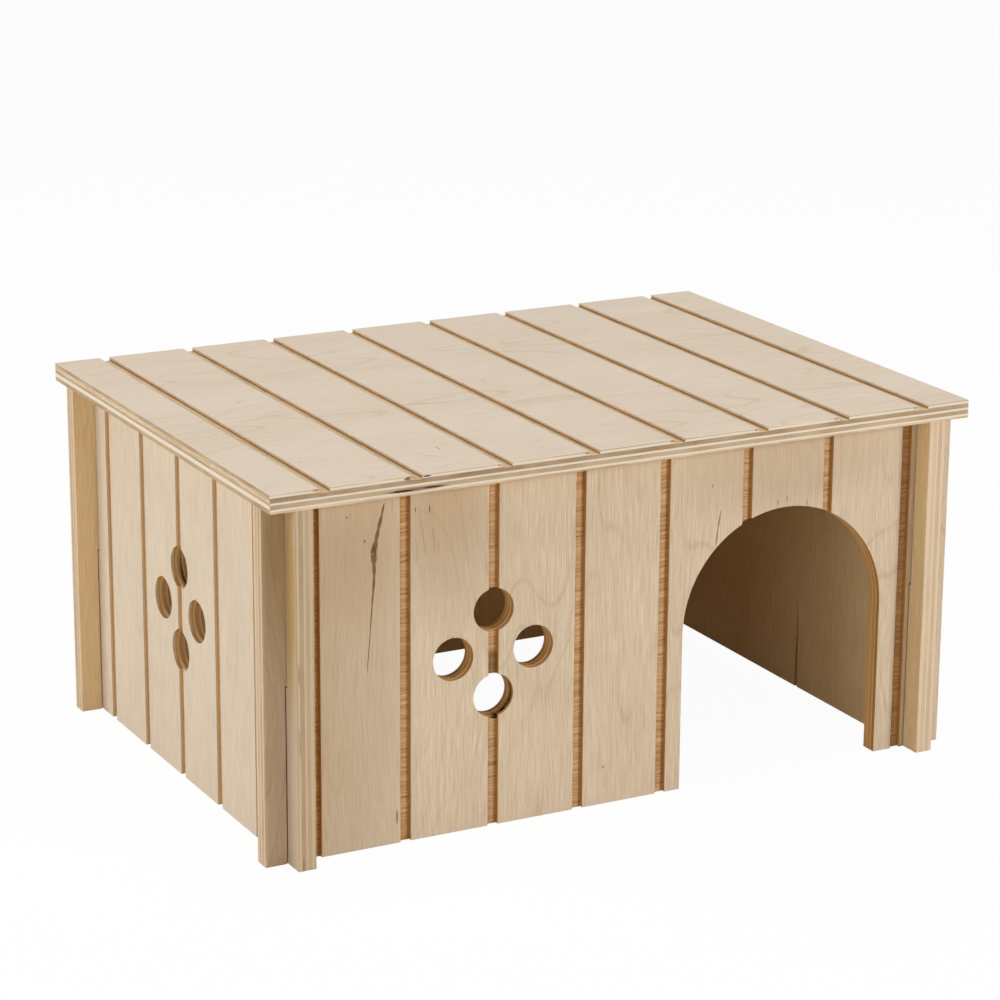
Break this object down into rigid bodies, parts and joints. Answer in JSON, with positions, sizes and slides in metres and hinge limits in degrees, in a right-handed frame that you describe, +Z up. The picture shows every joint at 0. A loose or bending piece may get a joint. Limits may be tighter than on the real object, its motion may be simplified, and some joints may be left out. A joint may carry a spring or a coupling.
{
  "type": "rabbit house",
  "caption": "Low plywood house for a small pet: grooved walls that slot together at the corners, an arched doorway, round vents and a flat lift-off roof.",
  "frame": {"origin": "centre of the footprint, on the floor", "axes": "+X to the right seen from the front, +Y to the back, +Z up; the doorway faces -Y"},
  "size_m": [0.33, 0.236, 0.16],
  "materials": {
    "wall_plywood": "sanded bare plywood",
    "roof_plywood": "sanded bare plywood",
    "batten_wood": "planed bare softwood",
    "brad_steel": "bright wire"
  },
  "bodies": {
    "side_walls": {"left_panel": "wall_plywood", "right_panel": "wall_plywood"},
    "front_wall": {"front_panel": "wall_plywood"},
    "back_wall": {"back_panel": "wall_plywood"},
    "roof": {"roof_panel": "roof_plywood", "front_batten": "batten_wood", "back_batten": "batten_wood", "batten_brads": "brad_steel"}
  },
  "joints": [
    {"name": "front_wall_lift", "type": "slide", "parent": "side_walls", "child": "front_wall", "axis": [0, 0, 1], "range_m": [0, 0.08]},
    {"name": "back_wall_lift", "type": "slide", "parent": "side_walls", "child": "back_wall", "axis": [0, 0, 1], "range_m": [0, 0.08]},
    {"name": "roof_lift", "type": "slide", "parent": "front_wall", "child": "roof", "axis": [0, 0, 1], "range_m": [0, 0.1]}
  ],
  "couplings": [
    {"joint": "back_wall_lift", "follows": "front_wall_lift", "ratio": 1}
  ]
}
